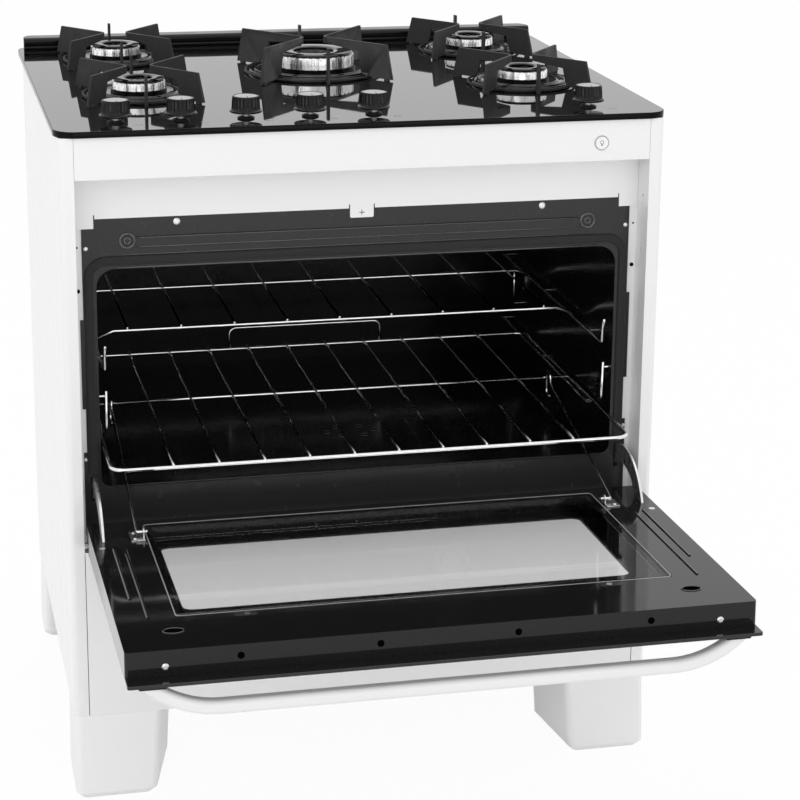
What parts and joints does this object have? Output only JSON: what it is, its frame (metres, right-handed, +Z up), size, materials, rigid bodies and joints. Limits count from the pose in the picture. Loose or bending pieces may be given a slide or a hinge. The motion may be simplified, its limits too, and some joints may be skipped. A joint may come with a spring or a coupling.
{
  "type": "freestanding gas range",
  "caption": "Freestanding gas range with a black glass top, five burners, knobs on top and a drop-down oven door that pulls out the lower shelf.",
  "frame": {"origin": "floor point at the centre of the footprint with the oven door open", "axes": "+X to the right seen from the front, +Y from the front to the back, +Z up"},
  "size_m": [0.765, 1.1008, 0.914],
  "materials": {
    "white_enamel": "glossy white enamel",
    "white_paint": "satin white paint",
    "white_plastic": "smooth white moulding",
    "black_glass": "polished black glass",
    "clear_glass": "clear tempered glass",
    "lamp_glass": "clear glass dome",
    "black_paint": "satin black paint",
    "black_enamel": "glossy black enamel",
    "grate_enamel": "matte black enamel",
    "plain_steel": "zinc-plated steel",
    "chrome_wire": "bright chrome plating",
    "bare_aluminium": "bright cast aluminium",
    "brass": "machined",
    "grey_seal": "woven grey sleeve",
    "black_rubber": "moulded black rubber",
    "black_plastic": "moulded black plastic",
    "insulation_wool": "soft mineral wool"
  },
  "bodies": {
    "root": {"side_panel_left": "white_enamel", "side_panel_right": "white_enamel", "rear_panel": "white_enamel", "flue_duct": "white_enamel", "base_frame": "white_enamel", "kick_panel": "white_enamel", "front_rail": "white_enamel", "control_panel": "white_enamel", "feet": "white_plastic", "cooktop_glass": "black_glass", "rear_trim": "black_paint", "burner_tray": "white_enamel", "oven_front_frame": "black_enamel", "oven_liner": "black_enamel", "oven_floor": "black_enamel", "oven_burner": "plain_steel", "door_seal": "grey_seal", "side_racks": "chrome_wire", "spill_rings": "black_enamel", "burner_bodies": "black_enamel", "burner_crowns": "bare_aluminium", "gas_valves": "brass", "gas_manifold": "plain_steel", "burner_tubes": "plain_steel", "spark_electrodes": "white_plastic", "body_screws": "chrome_wire", "oven_lamp": "lamp_glass", "insulation": "insulation_wool", "ignition_module": "black_plastic", "spindle_grommets": "black_rubber", "hinge_pins": "plain_steel"},
    "oven_door": {"door_inner_panel": "black_enamel", "door_inner_glass": "clear_glass", "door_outer_glass": "black_glass", "door_handle": "white_paint", "handle_spacers": "black_plastic", "shelf_hooks": "plain_steel", "hinge_arms": "plain_steel", "door_screws": "chrome_wire"},
    "links": {"shelf_links": "chrome_wire"},
    "lower_shelf": {"lower_shelf": "chrome_wire"},
    "upper_shelf": {"upper_shelf": "chrome_wire"},
    "lamp_button": {"light_button": "white_plastic"},
    "spindle_1": {"spindle_1": "plain_steel"},
    "knob_1": {"knob_1": "black_plastic"},
    "spindle_2": {"spindle_2": "plain_steel"},
    "knob_2": {"knob_2": "black_plastic"},
    "spindle_3": {"spindle_3": "plain_steel"},
    "knob_3": {"knob_3": "black_plastic"},
    "spindle_4": {"spindle_4": "plain_steel"},
    "knob_4": {"knob_4": "black_plastic"},
    "spindle_5": {"spindle_5": "plain_steel"},
    "knob_5": {"knob_5": "black_plastic"},
    "spindle_6": {"spindle_6": "plain_steel"},
    "knob_6": {"knob_6": "black_plastic"},
    "grate_1": {"grate_1": "grate_enamel"},
    "grate_2": {"grate_2": "grate_enamel"},
    "grate_3": {"grate_3": "grate_enamel"},
    "grate_4": {"grate_4": "grate_enamel"},
    "grate_5": {"grate_5": "grate_enamel"}
  },
  "joints": [
    {"name": "door_hinge", "type": "hinge", "parent": "root", "child": "oven_door", "pos_m": [0, -0.08959, 0.34], "axis": [-1, 0, 0], "range_deg": [0, 88.2]},
    {"name": "lower_shelf_slide", "type": "slide", "parent": "root", "child": "lower_shelf", "axis": [0, 1, 0], "range_m": [0, 0.118]},
    {"name": "link_pivot", "type": "hinge", "parent": "oven_door", "child": "links", "pos_m": [0, -0.16033, 0.38124], "axis": [-1, 0, 0], "range_deg": [-84, 0]},
    {"name": "upper_shelf_slide", "type": "slide", "parent": "root", "child": "upper_shelf", "axis": [0, 1, 0], "range_m": [-0.12, 0]},
    {"name": "lamp_button_press", "type": "slide", "parent": "root", "child": "lamp_button", "axis": [0, 1, 0], "range_m": [0, 0.002], "stiffness_N_per_m": 300, "springref_m": -0.001},
    {"name": "knob_1_turn", "type": "hinge", "parent": "root", "child": "spindle_1", "pos_m": [-0.304, -0.04759, 0.88], "axis": [0, 0, 1], "range_deg": [0, 210]},
    {"name": "knob_1_push", "type": "slide", "parent": "spindle_1", "child": "knob_1", "axis": [0, 0, -1], "range_m": [0, 0.003], "stiffness_N_per_m": 500, "springref_m": -0.002},
    {"name": "knob_2_turn", "type": "hinge", "parent": "root", "child": "spindle_2", "pos_m": [-0.225, -0.04759, 0.88], "axis": [0, 0, 1], "range_deg": [0, 210]},
    {"name": "knob_2_push", "type": "slide", "parent": "spindle_2", "child": "knob_2", "axis": [0, 0, -1], "range_m": [0, 0.003], "stiffness_N_per_m": 500, "springref_m": -0.002},
    {"name": "knob_3_turn", "type": "hinge", "parent": "root", "child": "spindle_3", "pos_m": [-0.145, -0.04759, 0.88], "axis": [0, 0, 1], "range_deg": [0, 210]},
    {"name": "knob_3_push", "type": "slide", "parent": "spindle_3", "child": "knob_3", "axis": [0, 0, -1], "range_m": [0, 0.003], "stiffness_N_per_m": 500, "springref_m": -0.002},
    {"name": "knob_4_turn", "type": "hinge", "parent": "root", "child": "spindle_4", "pos_m": [-0.065, -0.04759, 0.88], "axis": [0, 0, 1], "range_deg": [0, 210]},
    {"name": "knob_4_push", "type": "slide", "parent": "spindle_4", "child": "knob_4", "axis": [0, 0, -1], "range_m": [0, 0.003], "stiffness_N_per_m": 500, "springref_m": -0.002},
    {"name": "knob_5_turn", "type": "hinge", "parent": "root", "child": "spindle_5", "pos_m": [0.015, -0.04759, 0.88], "axis": [0, 0, 1], "range_deg": [0, 210]},
    {"name": "knob_5_push", "type": "slide", "parent": "spindle_5", "child": "knob_5", "axis": [0, 0, -1], "range_m": [0, 0.003], "stiffness_N_per_m": 500, "springref_m": -0.002},
    {"name": "knob_6_turn", "type": "hinge", "parent": "root", "child": "spindle_6", "pos_m": [0.292, -0.04759, 0.88], "axis": [0, 0, 1], "range_deg": [0, 290]},
    {"name": "knob_6_push", "type": "slide", "parent": "spindle_6", "child": "knob_6", "axis": [0, 0, -1], "range_m": [0, 0.003], "stiffness_N_per_m": 500, "springref_m": -0.002},
    {"name": "grate_1_lift", "type": "slide", "parent": "root", "child": "grate_1", "axis": [0, 0, 1], "range_m": [0, 0.06]},
    {"name": "grate_2_lift", "type": "slide", "parent": "root", "child": "grate_2", "axis": [0, 0, 1], "range_m": [0, 0.06]},
    {"name": "grate_3_lift", "type": "slide", "parent": "root", "child": "grate_3", "axis": [0, 0, 1], "range_m": [0, 0.06]},
    {"name": "grate_4_lift", "type": "slide", "parent": "root", "child": "grate_4", "axis": [0, 0, 1], "range_m": [0, 0.06]},
    {"name": "grate_5_lift", "type": "slide", "parent": "root", "child": "grate_5", "axis": [0, 0, 1], "range_m": [0, 0.06]}
  ],
  "couplings": [
    {"joint": "lower_shelf_slide", "follows": "door_hinge", "m_per_rad": 0.075536},
    {"joint": "link_pivot", "follows": "door_hinge", "ratio": -0.92972}
  ]
}
